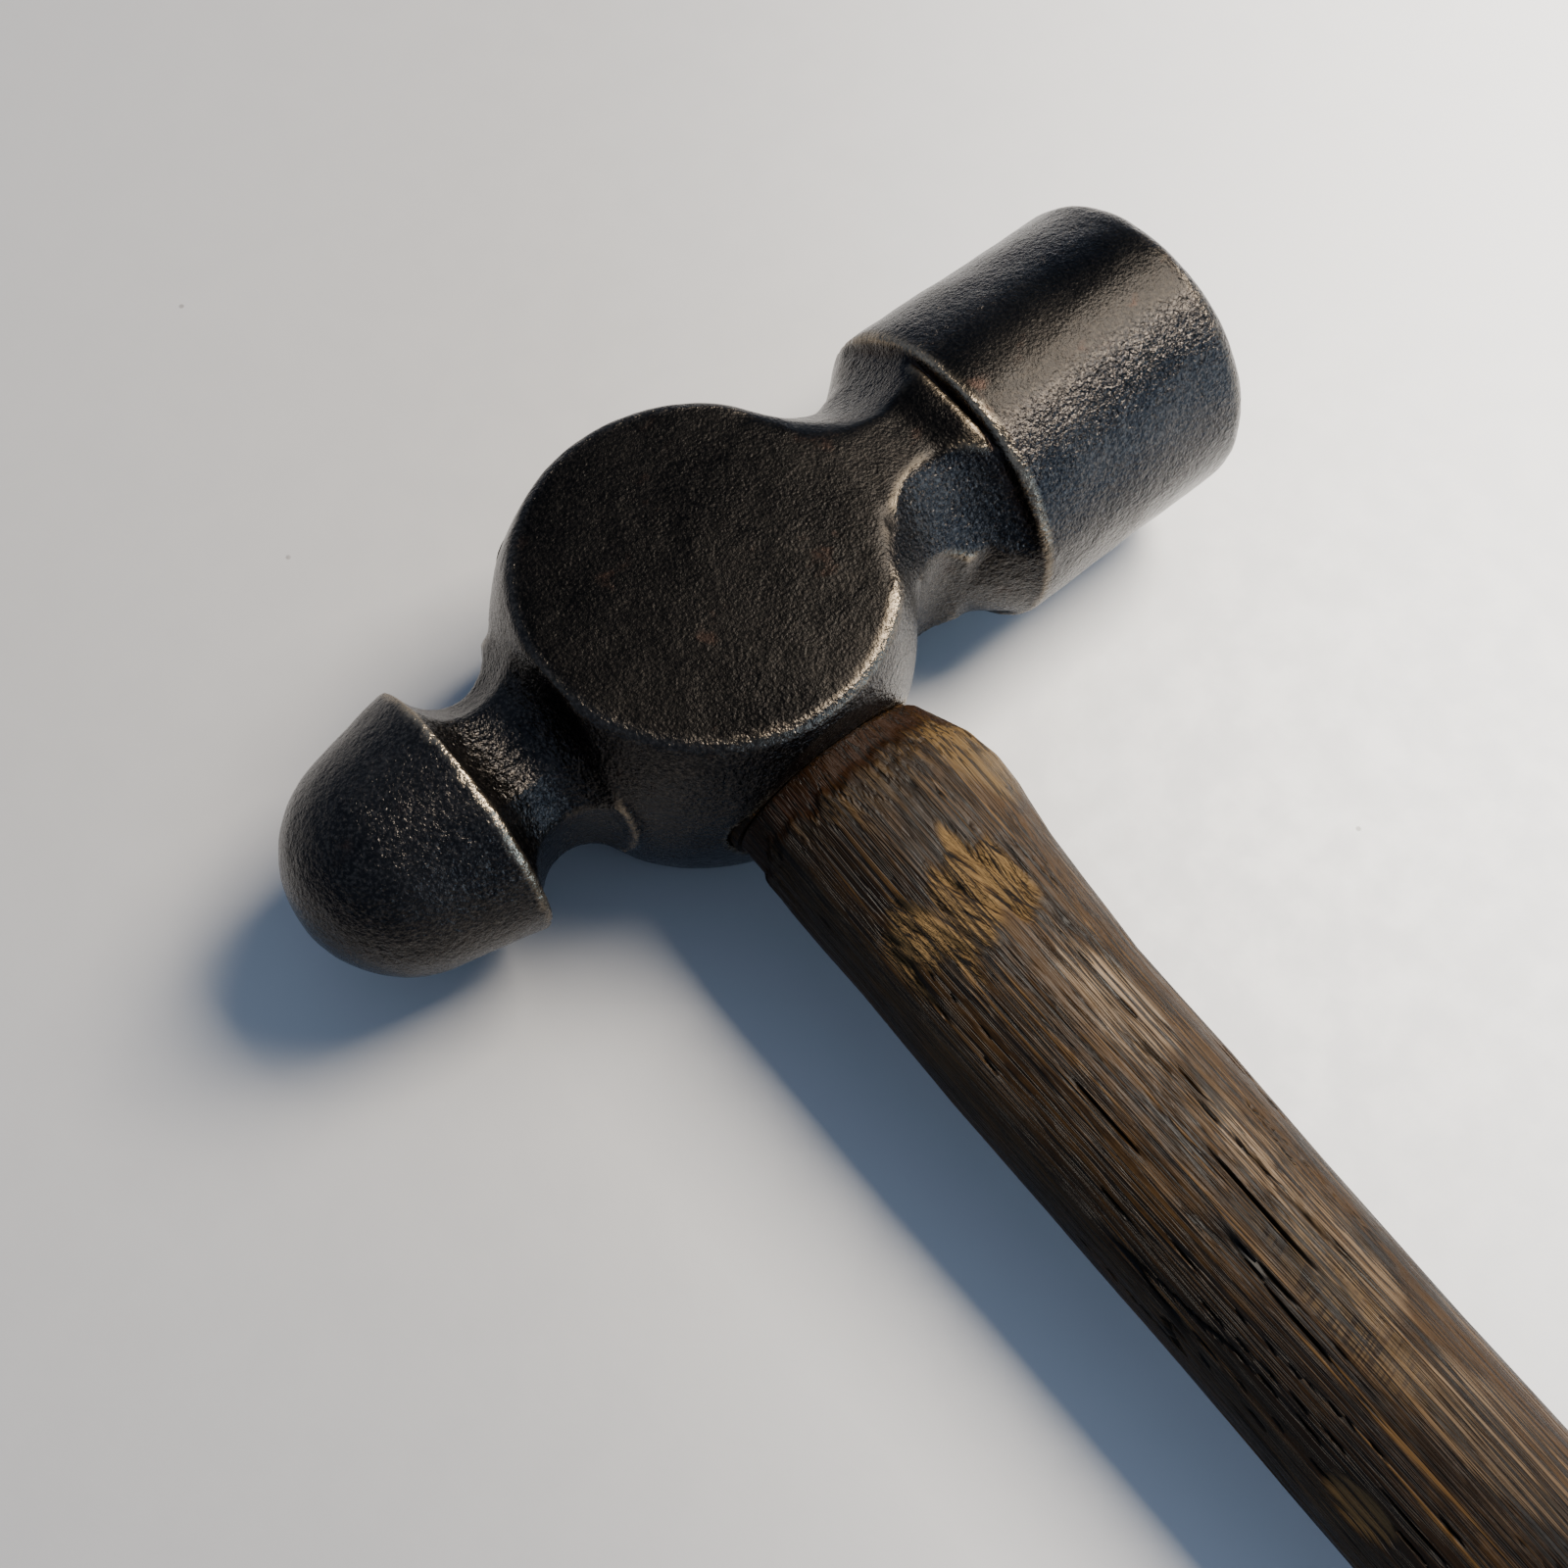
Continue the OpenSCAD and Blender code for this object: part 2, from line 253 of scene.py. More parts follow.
def read_normals(obj: bpy.types.Object) -> np.ndarray:
    """The vertex normals of obj as an n by 3 array.

    Args:
        obj: mesh object.

    Returns:
        One row for each vertex.
    """
    no = np.zeros(len(obj.data.vertices) * 3, np.float32)
    obj.data.vertices.foreach_get("normal", no)
    return no.reshape(-1, 3).astype(float)


def neighbour_mean(obj: bpy.types.Object, values: np.ndarray, rounds: int) -> np.ndarray:
    """Averages values over each vertex's neighbours.

    Args:
        obj: mesh object.
        values: one row for each vertex.
        rounds: how many times to average.

    Returns:
        The averaged values.
    """
    edges = np.zeros(len(obj.data.edges) * 2, np.int32)
    obj.data.edges.foreach_get("vertices", edges)
    a, b = edges.reshape(-1, 2).T
    count = np.bincount(a, minlength=len(values)) + np.bincount(b, minlength=len(values))
    flat = values.reshape(len(values), -1).astype(float)
    for _ in range(rounds):
        total = np.stack([
            np.bincount(a, flat[b, k], len(values)) + np.bincount(b, flat[a, k], len(values))
            for k in range(flat.shape[1])
        ], 1)
        flat = 0.5 * flat + 0.5 * total / np.maximum(count, 1)[:, None]
    return flat.reshape(values.shape)


def write_mask(obj: bpy.types.Object, name: str, values: np.ndarray) -> None:
    """Stores one number a vertex that the material can read."""
    mask = obj.data.attributes.new(name, "FLOAT", "POINT")
    mask.data.foreach_set("value", values.astype(np.float32))


def write_vector(obj: bpy.types.Object, name: str, values: np.ndarray) -> None:
    """Stores three numbers a vertex that the material can read as a place."""
    place = obj.data.attributes.new(name, "FLOAT_VECTOR", "POINT")
    place.data.foreach_set("vector", values.astype(np.float32).ravel())


def copy_node(node: str, name: str) -> bpy.types.Object:
    """A merged copy of a CAD node's mesh as a new object.

    Args:
        node: name of the CAD node.
        name: name of the new piece.

    Returns:
        The new object, at the origin.
    """
    obj = bpy.data.objects.new(name, frame["nodes"][node].data.copy())
    bpy.context.scene.collection.objects.link(obj)
    obj.data.materials.clear()
    select_only(obj)
    bpy.ops.object.mode_set(mode="EDIT")
    bpy.ops.mesh.select_all(action="SELECT")
    bpy.ops.mesh.remove_doubles(threshold=2e-6)
    bpy.ops.mesh.normals_make_consistent(inside=False)
    bpy.ops.object.mode_set(mode="OBJECT")
    if obj.data.has_custom_normals:
        bpy.ops.mesh.customdata_custom_splitnormals_clear()
    return obj


def apply_modifier(obj: bpy.types.Object, kind: str, **settings: object) -> None:
    """Adds a modifier, sets it and applies it.

    Args:
        obj: the object that is modified.
        kind: the modifier's type.
        settings: the modifier's properties by name.
    """
    select_only(obj)
    modifier = obj.modifiers.new(kind.title(), kind)
    for key, value in settings.items():
        setattr(modifier, key, value)
    bpy.ops.object.modifier_apply(modifier=modifier.name)


# ---------------------------------------------------------------- finishes


class NodeBoard:
    """Short way to lay and link shader nodes."""

    def __init__(self, name: str, place: str = "") -> None:
        """Starts an empty material.

        Args:
            name: the material's name.
            place: name of the mesh's own stored places, or empty for the object's coordinates.
        """
        self.material = bpy.data.materials.new(name)
        self.material.use_nodes = True
        self.tree = self.material.node_tree
        self.tree.nodes.clear()
        self.output = self.add("ShaderNodeOutputMaterial")
        self.shader = self.add("ShaderNodeBsdfPrincipled")
        self.link(self.shader.outputs["BSDF"], self.output.inputs["Surface"])
        if place:
            self.coords = self.add("ShaderNodeAttribute", attribute_name=place).outputs["Vector"]
        else:
            self.coords = self.add("ShaderNodeTexCoord").outputs["Object"]

    def add(self, kind: str, **settings: object) -> bpy.types.Node:
        """Adds a node and sets its properties.

        Args:
            kind: the node's type.
            settings: its properties by name.

        Returns:
            The new node.
        """
        node = self.tree.nodes.new(kind)
        for key, value in settings.items():
            setattr(node, key, value)
        return node

    def link(self, source: bpy.types.NodeSocket, target: bpy.types.NodeSocket) -> None:
        """Links two sockets."""
        self.tree.links.new(source, target)

    def feed(self, target: bpy.types.NodeSocket, value: object) -> None:
        """Gives a socket its value.

        Args:
            target: the socket that is fed.
            value: a number, a colour or another node's output.
        """
        if isinstance(value, bpy.types.NodeSocket):
            self.link(value, target)
        else:
            target.default_value = value

    def stretched(self, scale: Sequence[float], turn: float = 0.0) -> bpy.types.NodeSocket:
        """Coordinates turned about Z and scaled along each axis.

        Args:
            scale: units a metre along each axis.
            turn: turn about Z in radians.

        Returns:
            The new coordinates.
        """
        node = self.add("ShaderNodeMapping", vector_type="TEXTURE")
        node.inputs["Rotation"].default_value = (0.0, 0.0, turn)
        node.inputs["Scale"].default_value = tuple(1.0 / part for part in scale)
        self.link(self.coords, node.inputs["Vector"])
        return node.outputs["Vector"]

    def noise(self, scale: Sequence[float], detail: float = 4.0, rough: float = 0.55,
              turn: float = 0.0) -> bpy.types.NodeSocket:
        """Cloudy noise, 0 to 1.

        Args:
            scale: cells a metre along each axis.
            detail: how many finer layers are added.
            rough: strength of each finer layer against the last.
            turn: turn about Z in radians.

        Returns:
            The noise.
        """
        node = self.add("ShaderNodeTexNoise")
        node.inputs["Scale"].default_value = 1.0
        node.inputs["Detail"].default_value = detail
        node.inputs["Roughness"].default_value = rough
        self.link(self.stretched(scale, turn), node.inputs["Vector"])
        return node.outputs["Fac"]

    def cells(self, scale: Sequence[float]) -> bpy.types.NodeSocket:
        """Distance to the nearest of many scattered points.

        Args:
            scale: points a metre along each axis.

        Returns:
            The distance, in cells.
        """
        node = self.add("ShaderNodeTexVoronoi", feature="F1")
        node.inputs["Scale"].default_value = 1.0
        self.link(self.stretched(scale), node.inputs["Vector"])
        return node.outputs["Distance"]

    def mask(self, name: str) -> bpy.types.NodeSocket:
        """One of the mesh's own stored masks."""
        return self.add("ShaderNodeAttribute", attribute_name=name).outputs["Fac"]

    def span(self, value: object, low: float, high: float, to_low: float = 0.0,
             to_high: float = 1.0) -> bpy.types.NodeSocket:
        """Maps one range onto another, smoothly and clamped.

        Args:
            value: the number that is mapped.
            low: start of its range; may be above high for a fall.
            high: end of its range.
            to_low: result at low.
            to_high: result at high.

        Returns:
            The mapped value.
        """
        node = self.add("ShaderNodeMapRange", interpolation_type="SMOOTHSTEP", clamp=True)
        self.feed(node.inputs["Value"], value)
        node.inputs["From Min"].default_value = low
        node.inputs["From Max"].default_value = high
        node.inputs["To Min"].default_value = to_low
        node.inputs["To Max"].default_value = to_high
        return node.outputs["Result"]

    def math(self, kind: str, a: object, b: object = 0.0) -> bpy.types.NodeSocket:
        """One arithmetic step.

        Args:
            kind: the operation.
            a: first number or output.
            b: second number or output, where the operation has one.

        Returns:
            The result.
        """
        node = self.add("ShaderNodeMath", operation=kind)
        self.feed(node.inputs[0], a)
        self.feed(node.inputs[1], b)
        return node.outputs[0]

    def mix(self, share: object, a: object, b: object) -> bpy.types.NodeSocket:
        """Mixes two colours.

        Args:
            share: how much of b, 0 to 1.
            a: first colour.
            b: second colour.

        Returns:
            The mixed colour.
        """
        node = self.add("ShaderNodeMix", data_type="RGBA", blend_type="MIX")
        self.feed(node.inputs["Factor"], share)
        self.feed(node.inputs[6], rgba(a))
        self.feed(node.inputs[7], rgba(b))
        return node.outputs[2]

    def bump(self, height: object, depth_mm: float, under: object = None) -> bpy.types.NodeSocket:
        """Relief on the surface.

        Args:
            height: relief, 0 to 1.
            depth_mm: its depth in millimetres at height 1.
            under: the relief that this one is laid over.

        Returns:
            The new normal.
        """
        node = self.add("ShaderNodeBump")
        node.inputs["Strength"].default_value = 1.0
        node.inputs["Distance"].default_value = depth_mm * MM
        self.feed(node.inputs["Height"], height)
        if under is not None:
            self.link(under, node.inputs["Normal"])
        return node.outputs["Normal"]


def rgba(colour: object) -> object:
    """A colour of three numbers with full cover added.

    Args:
        colour: a colour or a node's output.

    Returns:
        The colour of four numbers; an output passes through.
    """
    if isinstance(colour, bpy.types.NodeSocket):
        return colour
    return (*colour, 1.0) if len(colour) == 3 else tuple(colour)


@dataclass(frozen=True)
class ForgedSteel:
    """Old forged steel: dark oxide, brighter worn edges, brown crevices, fine pits."""

    dark: Tuple[float, float, float] = (0.0040, 0.0040, 0.0046)
    grey: Tuple[float, float, float] = (0.046, 0.039, 0.033)
    worn: Tuple[float, float, float] = (0.22, 0.175, 0.12)
    rust: Tuple[float, float, float] = (0.030, 0.012, 0.006)
    cheek_black: Tuple[float, float, float] = (0.0016, 0.0013, 0.0010)
    cheek_black_share: float = 0.88
    stain_share: float = 0.30
    cheek_calm: float = 0.82
    peel_depth: float = 0.28
    pit_depth: float = 0.06
    grain_depth: float = 0.13

    def make(self) -> bpy.types.Material:
        """Builds the material.

        Returns:
            The finished material.
        """
        b = NodeBoard("forged_steel")
        patches = b.noise((70, 70, 70), detail=5, rough=0.6)
        fine = b.noise((2300, 2300, 2300), detail=3)
        # Oxide in soft patches, bright specks, worn edges and the darker cheek tops
        tone = b.math("ADD", b.span(patches, 0.3, 0.7, 0.0, 0.3), b.span(fine, 0.42, 0.74, 0.0, 0.7))
        colour = b.mix(tone, self.dark, self.grey)
        # On the cheek rims this worn colour shows only on the lit side, a painted highlight
        edge = b.math("MULTIPLY", b.mask("edge"), b.span(fine, 0.3, 0.6, 0.5, 1.0))
        colour = b.mix(edge, colour, self.worn)
        # The level tops of the cheeks and strips are coloured near black
        cheek_darkening = b.math("MULTIPLY", b.mask("cheek"), self.cheek_black_share)
        colour = b.mix(cheek_darkening, colour, self.cheek_black)
        # Rust in the crevices and in a few spots
        crevice = b.math("MULTIPLY", b.mask("crevice"), b.span(patches, 0.35, 0.6, 0.35, 1.0))
        spots = b.span(b.noise((190, 190, 190), detail=6), 0.62, 0.80)
        stain = b.math("MULTIPLY", spots, self.stain_share)
        rusty = b.math("MAXIMUM", crevice, stain)
        colour = b.mix(rusty, colour, self.rust)
        b.feed(b.shader.inputs["Base Color"], colour)
        b.feed(b.shader.inputs["Metallic"], b.span(rusty, 0.1, 0.9, 0.95, 0.3))
        gloss = b.math("ADD", b.span(patches, 0.3, 0.7, 0.17, 0.26), b.span(fine, 0.3, 0.7, 0.0, 0.08))
        dull = b.math("ADD", b.math("MULTIPLY", b.mask("cheek"), 0.06), b.math("MULTIPLY", rusty, 0.3))
        gloss = b.math("ADD", gloss, dull)
        b.feed(b.shader.inputs["Roughness"], gloss)
        # Relief: the hammered skin, scattered pits and a fine grain, all of them calmer on the cheek
        calm = b.math("SUBTRACT", 1.0, b.math("MULTIPLY", b.mask("cheek"), self.cheek_calm))
        peel = b.math("MULTIPLY", b.noise((1050, 1050, 1050), detail=3, rough=0.6), calm)
        pits = b.span(b.cells((1500, 1500, 1500)), 0.10, 0.45)
        sparse = b.span(b.noise((300, 300, 300), detail=2), 0.48, 0.62)
        deep = b.math("MULTIPLY", b.math("SUBTRACT", 1.0, pits), sparse)
        grain = b.math("MULTIPLY", b.noise((2600, 2600, 2600), detail=2), b.span(calm, 0.2, 1.0, 0.50, 1.0))
        normal = b.bump(peel, self.peel_depth)
        normal = b.bump(b.math("SUBTRACT", 1.0, b.math("MULTIPLY", deep, calm)), self.pit_depth, normal)
        normal = b.bump(grain, self.grain_depth, normal)
        b.feed(b.shader.inputs["Normal"], normal)
        return b.material


@dataclass(frozen=True)
class OldWood:
    """Weathered hardwood: long dark pores and cracks, brown to grey, polished where it is held and painted
    with a grey sheen there.
    """

    black: Tuple[float, float, float] = (0.0025, 0.002, 0.0015)
    dark: Tuple[float, float, float] = (0.0070, 0.0035, 0.0010)
    brown: Tuple[float, float, float] = (0.024, 0.0112, 0.0022)
    tan: Tuple[float, float, float] = (0.052, 0.027, 0.0080)
    grey: Tuple[float, float, float] = (0.120, 0.080, 0.045)
    pale: Tuple[float, float, float] = (0.070, 0.042, 0.015)
    ochre: Tuple[float, float, float] = (0.088, 0.053, 0.020)
    rust: Tuple[float, float, float] = (0.0095, 0.0032, 0.0006)
    ripple_turn: float = 0.25
    specular: float = 0.09
    fibre_depth: float = 0.20
    pore_depth: float = 0.10
    torn_depth: float = 0.8
    dent_depth: float = 0.05

    def make(self) -> bpy.types.Material:
        """Builds the material.

        Returns:
            The finished material.
        """
        b = NodeBoard("handle_wood", place="grain")
        blotch = b.noise((75, 16, 75), detail=4)
        mottle = b.noise((520, 190, 520), detail=5, rough=0.7)
        warm = b.math("ADD", b.math("MULTIPLY", blotch, 0.6), b.math("MULTIPLY", mottle, 0.4))
        colour = b.mix(b.span(warm, 0.42, 0.58), self.dark, self.brown)
        fibre = b.noise((2300, 30, 2300), detail=3, rough=0.65)
        streak = b.noise((650, 12, 650), detail=3)
        light = b.math("MULTIPLY", b.span(fibre, 0.50, 0.62), b.span(streak, 0.46, 0.62))
        colour = b.mix(light, colour, self.tan)
        # Dark pores and thin open slits along the grain
        pores = b.span(b.noise((2600, 45, 2600), detail=2), 0.48, 0.40)
        line = b.math("ABSOLUTE", b.math("SUBTRACT", b.noise((900, 9, 900), detail=2), 0.5))
        slit = b.span(line, 0.020, 0.005)
        hair = b.math("ABSOLUTE", b.math("SUBTRACT", b.noise((1900, 20, 1900), detail=1), 0.5))
        hair_slit = b.math("MULTIPLY", b.span(hair, 0.034, 0.010), b.span(streak, 0.42, 0.55))
        slit = b.math("MAXIMUM", slit, hair_slit)
        # Places rubbed grey, partly with a painted sheen, torn, shaved and rippled
        # Rubbed grey on the upper side: partly real wear, partly a painted sheen of the light
        wear_sheen = b.math("MULTIPLY", b.mask("worn"), b.span(fibre, 0.38, 0.54))
        colour = b.mix(b.math("MULTIPLY", wear_sheen, 0.85), colour, self.grey)
        torn = b.mask("torn")
        splinter = b.noise((1300, 110, 1300), detail=4, rough=0.7, turn=STRAND_TURN)
        colour = b.mix(b.math("MULTIPLY", torn, b.span(splinter, 0.38, 0.52)), colour, self.ochre)
        # Painted shade: black in the gaps between the torn strands
        shaded_gaps = b.math("MULTIPLY", torn, b.span(splinter, 0.43, 0.36))
        colour = b.mix(shaded_gaps, colour, self.black)
        shaved = b.math("MULTIPLY", b.mask("shaved"), b.span(fibre, 0.30, 0.55, 0.4, 0.95))
        colour = b.mix(shaved, colour, self.pale)
        bars = b.span(b.noise((110, 1500, 110), detail=1, turn=self.ripple_turn), 0.44, 0.56)
        bars = b.math("MULTIPLY", bars, b.mask("ripple"))
        colour = b.mix(b.math("MULTIPLY", bars, 0.35), colour, self.pale)
        # What lies over the rest: pores, the painted shadow of the head, rust from the head, slits and cracks
        colour = b.mix(b.math("MULTIPLY", pores, 0.8), colour, self.black)
        # Painted shadow: the wood is darkened near the head on the ball side, where the head's shadow falls
        colour = b.mix(b.math("MULTIPLY", b.mask("head_shadow"), 0.72), colour, self.dark)
        rusty = b.math("MULTIPLY", b.mask("rust"), b.span(mottle, 0.3, 0.6, 0.5, 1.0))
        colour = b.mix(rusty, colour, self.rust)
        colour = b.mix(b.math("MULTIPLY", slit, 0.9), colour, self.black)
        colour = b.mix(b.math("MULTIPLY", b.mask("crack"), 0.92), colour, self.black)
        b.feed(b.shader.inputs["Base Color"], colour)
        b.shader.inputs["Specular IOR Level"].default_value = self.specular
        rough = b.math("ADD", b.span(mottle, 0.3, 0.7, 0.36, 0.52), b.math("MULTIPLY", torn, 0.3))
        rough = b.math("SUBTRACT", rough, b.math("MULTIPLY", b.mask("worn"), 0.06))
        b.feed(b.shader.inputs["Roughness"], rough)
        normal = b.bump(fibre, self.fibre_depth)
        normal = b.bump(b.math("SUBTRACT", 1.0, b.math("MAXIMUM", slit, pores)), self.pore_depth, normal)
        normal = b.bump(b.math("MULTIPLY", splinter, torn), self.torn_depth, normal)
        normal = b.bump(b.noise((900, 500, 900), detail=4, rough=0.65), self.dent_depth, normal)
        b.feed(b.shader.inputs["Normal"], normal)
        return b.material


@dataclass(frozen=True)
class PlainStock:
    """Finish of the wedges: one base colour broken up by streaks and a little relief."""

    name: str
    light: Tuple[float, float, float]
    dark: Tuple[float, float, float]
    metallic: float
    roughness: float
    streaks: Tuple[float, float, float]

    def make(self) -> bpy.types.Material:
        """Builds the material.

        Returns:
            The finished material.
        """
        b = NodeBoard(self.name)
        streak = b.noise(self.streaks, detail=4, rough=0.6)
        b.feed(b.shader.inputs["Base Color"], b.mix(b.span(streak, 0.35, 0.65), self.dark, self.light))
        b.feed(b.shader.inputs["Metallic"], self.metallic)
        gloss = b.span(streak, 0.3, 0.7, self.roughness + 0.1, self.roughness - 0.1)
        b.feed(b.shader.inputs["Roughness"], gloss)
        b.feed(b.shader.inputs["Normal"], b.bump(streak, 0.08))
        return b.material


@dataclass(frozen=True)
class TableTop:
    """Pale satin table whose colour darkens towards one side as painted shade, with a few specks."""

    colour: Tuple[float, float, float] = (0.80, 0.80, 0.80)
    shade_colour: Tuple[float, float, float] = (0.27, 0.262, 0.255)
    shade_span: Tuple[float, float] = (-0.16, 0.13)
    shade_turn: float = 0.69
    speck_colour: Tuple[float, float, float] = (0.10, 0.09, 0.08)
    speck_share: float = 0.7

    def make(self) -> bpy.types.Material:
        """Builds the material.

        Returns:
            The finished material.
        """
        b = NodeBoard("table_top")
        # Painted shade: the colour darkens towards one side, standing in for the fall of the light
        turned = b.add("ShaderNodeMapping", vector_type="POINT")
        turned.inputs["Rotation"].default_value = (0.0, 0.0, self.shade_turn)
        b.link(b.coords, turned.inputs["Vector"])
        along = b.add("ShaderNodeSeparateXYZ")
        b.link(turned.outputs["Vector"], along.inputs["Vector"])
        colour = b.mix(b.span(along.outputs["X"], *self.shade_span), self.shade_colour, self.colour)
        speck = b.span(b.cells((55, 55, 55)), 0.030, 0.022)
        some = b.span(b.noise((35, 35, 35), detail=1), 0.56, 0.60)
        speckled = b.math("MULTIPLY", b.math("MULTIPLY", speck, some), self.speck_share)
        colour = b.mix(speckled, colour, self.speck_colour)
        b.feed(b.shader.inputs["Base Color"], colour)
        b.feed(b.shader.inputs["Roughness"], b.span(b.noise((140, 140, 140), detail=4), 0.3, 0.7, 0.42, 0.52))
        b.feed(b.shader.inputs["Normal"], b.bump(b.noise((420, 420, 420), detail=2), 0.02))
        return b.material


# ---------------------------------------------------------------- pieces


@dataclass
class Head:
    """Forged head: the CAD shape with softened edges, forging marks and wear. Lengths in millimetres."""

    rest: RestPose
    voxel: float = 0.56
    soften_rounds: int = 3
    wave_depth: float = 0.20
    peel_depth: float = 0.030
    pit_depth: float = 0.06
    nick_depth: float = 0.16
    cheek_height: float = 18.4
    # Strip from each cheek along the neck: where it lies along the head, how high and how level it is
    strip_start: Fade = Fade(22.0, 24.0)
    strip_end: Fade = Fade(36.6, 36.2)
    strip_level: Fade = Fade(0.80, 0.93)
    strip_height: Fade = Fade(14.5, 15.6)
    strip_stop: Fade = Fade(36.9, 36.5)
    strip_gain: float = 1.25
    strip_rounds: int = 5
    # Lift of the strips towards the striking end, and how it dies away from their middle
    strip_lift: float = 2.2
    lift_along: Fade = Fade(29.5, 36.4)
    lift_across: Fade = Fade(11.5, 3.0)
    # Places that are melted round: the neck's far side, its corners at the eye body, and the strip's end
    far_start: Fade = Fade(16.0, 21.0)
    far_end: Fade = Fade(36.3, 35.0)
    far_across: Fade = Fade(2.0, 7.0)
    corner_place: Tuple[float, float] = (18.6, 12.0)
    corner_size: float = 3.2
    end_start: Fade = Fade(27.0, 32.0)
    end_stop: Fade = Fade(36.3, 35.3)
    end_height: Fade = Fade(14.0, 15.0)
    end_share: float = 0.5
    melt_rounds: int = 40
    # Bend of the surface that counts as a worn edge or as a crevice, over a few vertices
    edge_bend: Fade = Fade(0.035, 0.14)
    crevice_bend: Fade = Fade(0.03, 0.16)
    crevice_gain: float = 1.4
    spread_rounds: int = 6
    # Where the head is coloured darker: on the level tops of the cheeks and of the strips
    cheek_level: Fade = Fade(0.9, 0.98)
    dark_strip_height: Fade = Fade(14.2, 15.2)
    dark_strip_start: Fade = Fade(15.0, 18.0)
    dark_strip_end: Fade = Fade(37.0, 36.3)
    dark_strip_level: Fade = Fade(0.70, 0.88)
    # Strength of a lattice noise at which a pit, a zone of pits or a nick begins
    pit_start: Fade = Fade(0.52, 0.85)
    pit_zone_start: Fade = Fade(-0.1, 0.6)
    nick_start: Fade = Fade(0.35, 0.8)
    # The rim round each cheek keeps its bright wear only towards the handle and the striking end, the side
    # the light falls on: a painted highlight; elsewhere it is dulled
    rim_height: Fade = Fade(14.5, 16.0)
    rim_radius: Fade = Fade(26.0, 24.0)
    highlight_side: Tuple[float, float] = (0.80, -0.60)
    highlight_radius: float = 21.5
    highlight_fade: Fade = Fade(-0.2, 0.9)
    unlit_rim_dulling: float = 0.85
    cheek_smooth: float = 0.75

    def build(self) -> bpy.types.Object:
        """Builds and dresses the head.

        Returns:
            The finished piece.
        """
        obj = copy_node("head", "hammer_head")
        voxel = self.voxel * 1.0
        apply_modifier(obj, "REMESH", mode="VOXEL", voxel_size=voxel * MM, adaptivity=0.0)
        apply_modifier(obj, "SMOOTH", factor=0.5, iterations=self.soften_rounds)
        self.roughen(obj)
        select_only(obj)
        bpy.ops.object.shade_smooth()
        obj.data.materials.append(ForgedSteel().make())
        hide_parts("head")
        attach(obj, Body.ROOT.value)
        log.info("head: %d faces", len(obj.data.polygons))
        return obj

    def blend_neck(self, obj: bpy.types.Object) -> None:
        """Lifts the cheek strips towards the striking end and rounds them where they meet the eye body.

        Args:
            obj: the softened head.
        """
        points = self.rest.to_head(read_points(obj))
        normals = read_normals(obj) @ self.rest.turn
        x, y, z = points[:, 0], points[:, 1], np.abs(points[:, 2])
        strip = self.strip_start.of(x) * self.strip_end.of(x) * self.strip_level.of(np.abs(normals[:, 2]))
        strip *= self.strip_height.of(z)
        strip = np.clip(self.strip_gain * neighbour_mean(obj, strip, self.strip_rounds), 0, 1)
        strip = strip * self.strip_stop.of(x)
        lift = self.strip_lift * self.lift_along.of(x) * self.lift_across.of(np.abs(y))
        points[:, 2] += np.sign(points[:, 2]) * lift * strip
        far_side = self.far_start.of(x) * self.far_end.of(x) * self.far_across.of(y)
        corner_x, corner_y = self.corner_place
        corner = np.exp(-((x - corner_x) ** 2 + (np.abs(y) - corner_y) ** 2) / self.corner_size ** 2)
        near_end = self.end_share * self.end_start.of(x) * self.end_stop.of(x) * self.end_height.of(z)
        melt = np.maximum(np.maximum(far_side, corner), near_end)
        calm = neighbour_mean(obj, points, self.melt_rounds)
        points += (calm - points) * melt[:, None]
        write_points(obj, self.rest.to_row(points))

    def roughen(self, obj: bpy.types.Object) -> None:
        """Moves the surface for the marks of forging and use, and stores the masks of the finish.

        Args:
            obj: the softened head.
        """
        self.blend_neck(obj)
        points = self.rest.to_head(read_points(obj))
        normals = read_normals(obj) @ self.rest.turn
        spread = neighbour_mean(obj, points, self.spread_rounds)
        bend = ((points - spread) * normals).sum(1)
        bend = neighbour_mean(obj, bend, 2)
        edge = self.edge_bend.of(bend)
        crevice = self.crevice_bend.of(-bend)
        crevice = np.clip(neighbour_mean(obj, crevice, self.spread_rounds) * self.crevice_gain, 0, 1)
        x, y, height, level = points[:, 0], points[:, 1], np.abs(points[:, 2]), np.abs(normals[:, 2])
        cheek = smooth_step(self.cheek_height - 0.9, self.cheek_height - 0.2, height)
        strip = self.dark_strip_height.of(height) * self.dark_strip_start.of(x)
        strip *= self.dark_strip_end.of(x)
        cheek = np.maximum(cheek * self.cheek_level.of(level), strip * self.dark_strip_level.of(level))
        cheek = neighbour_mean(obj, cheek, 2)
        rim = self.rim_height.of(height) * self.rim_radius.of(np.hypot(x, y))
